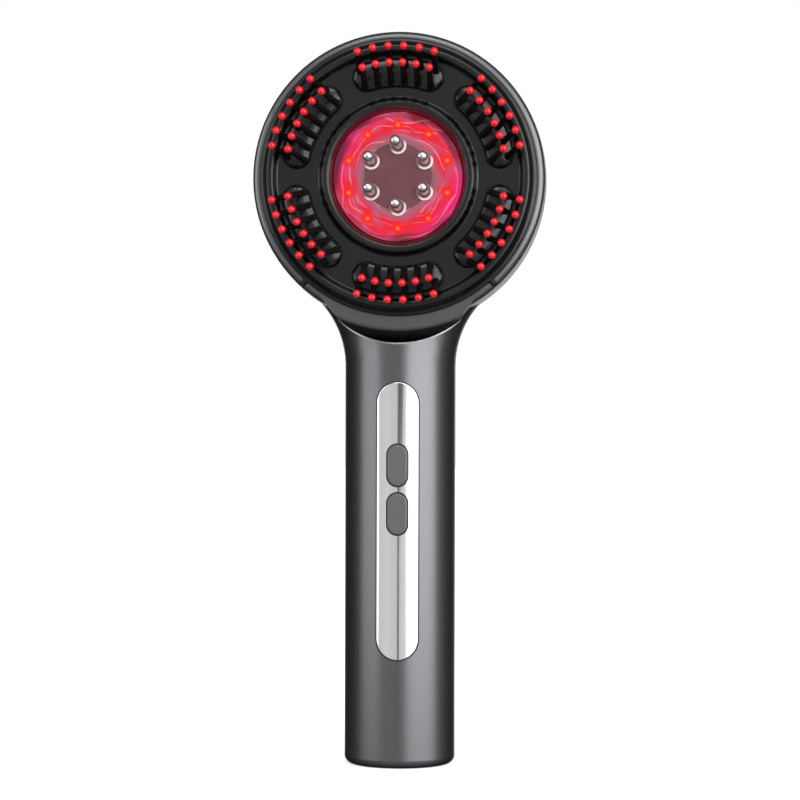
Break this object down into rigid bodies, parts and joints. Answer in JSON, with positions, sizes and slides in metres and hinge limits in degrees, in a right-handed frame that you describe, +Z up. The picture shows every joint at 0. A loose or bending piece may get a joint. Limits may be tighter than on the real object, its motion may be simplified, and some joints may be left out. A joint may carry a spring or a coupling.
{
  "type": "scalp massage brush",
  "caption": "Handheld scalp massage brush: a round comb head with leaning bristles, a lit window and dispensing pins on a straight handle with push buttons.",
  "frame": {"origin": "centre of the flat foot of the handle", "axes": "+Z up along the handle, -Y the way the bristles point, +X to the right seen from the front"},
  "size_m": [0.0744, 0.0498, 0.186],
  "materials": {
    "housing_grey": "smooth metallic gunmetal lacquer, semi-gloss",
    "comb_black": "glossy black",
    "pad_rubber": "smooth black elastomer with a soft shine",
    "tip_red": "glossy red balls",
    "window_red": "clear, lit red from behind",
    "disc_smoky": "smoky, glossy",
    "collar_pale": "pale, glossy",
    "pin_steel": "polished",
    "strip_chrome": "bright satin plating",
    "button_grey": "satin grey",
    "cap_black": "satin black",
    "frame_plastic": "moulded, unpainted",
    "cup_white": "white reflector",
    "light_red": "lit",
    "tank_clear": "clear moulded plastic",
    "seal_rubber": "soft black",
    "board_green": "solder mask",
    "switch_steel": "stamped can",
    "plunger_black": "moulded",
    "socket_steel": "stamped shell",
    "battery_wrap": "shrink sleeve",
    "motor_steel": "drawn can and ground shaft",
    "weight_steel": "sintered",
    "spring_steel": "drawn wire",
    "screw_steel": "blackened"
  },
  "bodies": {
    "housing": {"front_shell": "housing_grey", "rear_shell": "housing_grey", "shell_screws": "screw_steel", "head_frame": "frame_plastic", "frame_screws": "screw_steel", "tank_lid": "tank_clear", "tank_gasket": "seal_rubber", "tank": "tank_clear", "light_cup": "cup_white", "led_board": "board_green", "leds": "light_red", "light_window": "window_red", "centre_plate": "disc_smoky", "valve_block": "frame_plastic", "pin_collars": "collar_pale", "pin_spring_1": "spring_steel", "pin_spring_2": "spring_steel", "pin_spring_3": "spring_steel", "pin_spring_4": "spring_steel", "pin_spring_5": "spring_steel", "pin_spring_6": "spring_steel", "control_strip": "strip_chrome", "main_board": "board_green", "push_switches": "switch_steel", "charging_socket": "socket_steel", "battery_cell": "battery_wrap", "battery_cradle": "frame_plastic", "end_cap": "cap_black", "motor_can": "motor_steel", "motor_mount": "seal_rubber"},
    "comb_head": {"comb_plate": "comb_black", "comb_pad_1": "pad_rubber", "comb_pad_2": "pad_rubber", "comb_pad_3": "pad_rubber", "comb_pad_4": "pad_rubber", "comb_pad_5": "pad_rubber", "comb_pad_6": "pad_rubber", "bristle_tips_1": "tip_red", "bristle_tips_2": "tip_red", "bristle_tips_3": "tip_red", "bristle_tips_4": "tip_red", "bristle_tips_5": "tip_red", "bristle_tips_6": "tip_red"},
    "power_button": {"power_button": "button_grey", "power_plunger": "plunger_black"},
    "mode_button": {"mode_button": "button_grey", "mode_plunger": "plunger_black"},
    "motor_rotor": {"motor_shaft": "motor_steel", "eccentric_weight": "weight_steel"},
    "filler_plug": {"filler_plug": "seal_rubber"},
    "pin_1": {"pin_1": "pin_steel"},
    "pin_2": {"pin_2": "pin_steel"},
    "pin_3": {"pin_3": "pin_steel"},
    "pin_4": {"pin_4": "pin_steel"},
    "pin_5": {"pin_5": "pin_steel"},
    "pin_6": {"pin_6": "pin_steel"}
  },
  "joints": [
    {"name": "power_button_press", "type": "slide", "parent": "housing", "child": "power_button", "axis": [0, 1, 0], "range_m": [0, 0.0006], "stiffness_N_per_m": 800, "springref_m": -0.001},
    {"name": "mode_button_press", "type": "slide", "parent": "housing", "child": "mode_button", "axis": [0, 1, 0], "range_m": [0, 0.0006], "stiffness_N_per_m": 800, "springref_m": -0.001},
    {"name": "pin_1_press", "type": "slide", "parent": "housing", "child": "pin_1", "axis": [0, 1, 0], "range_m": [0, 0.0012], "stiffness_N_per_m": 300, "springref_m": -0.001, "deforming": ["pin_spring_1"]},
    {"name": "pin_2_press", "type": "slide", "parent": "housing", "child": "pin_2", "axis": [0, 1, 0], "range_m": [0, 0.0012], "stiffness_N_per_m": 300, "springref_m": -0.001, "deforming": ["pin_spring_2"]},
    {"name": "pin_3_press", "type": "slide", "parent": "housing", "child": "pin_3", "axis": [0, 1, 0], "range_m": [0, 0.0012], "stiffness_N_per_m": 300, "springref_m": -0.001, "deforming": ["pin_spring_3"]},
    {"name": "pin_4_press", "type": "slide", "parent": "housing", "child": "pin_4", "axis": [0, 1, 0], "range_m": [0, 0.0012], "stiffness_N_per_m": 300, "springref_m": -0.001, "deforming": ["pin_spring_4"]},
    {"name": "pin_5_press", "type": "slide", "parent": "housing", "child": "pin_5", "axis": [0, 1, 0], "range_m": [0, 0.0012], "stiffness_N_per_m": 300, "springref_m": -0.001, "deforming": ["pin_spring_5"]},
    {"name": "pin_6_press", "type": "slide", "parent": "housing", "child": "pin_6", "axis": [0, 1, 0], "range_m": [0, 0.0012], "stiffness_N_per_m": 300, "springref_m": -0.001, "deforming": ["pin_spring_6"]},
    {"name": "motor_spin", "type": "hinge", "parent": "housing", "child": "motor_rotor", "pos_m": [0, 0.003, 0.098], "axis": [0, 0, 1], "continuous": true},
    {"name": "comb_head_pull", "type": "slide", "parent": "housing", "child": "comb_head", "axis": [0, -1, 0], "range_m": [0, 0.02]},
    {"name": "filler_plug_pull", "type": "slide", "parent": "housing", "child": "filler_plug", "axis": [0, 1, 0], "range_m": [0, 0.008]}
  ]
}
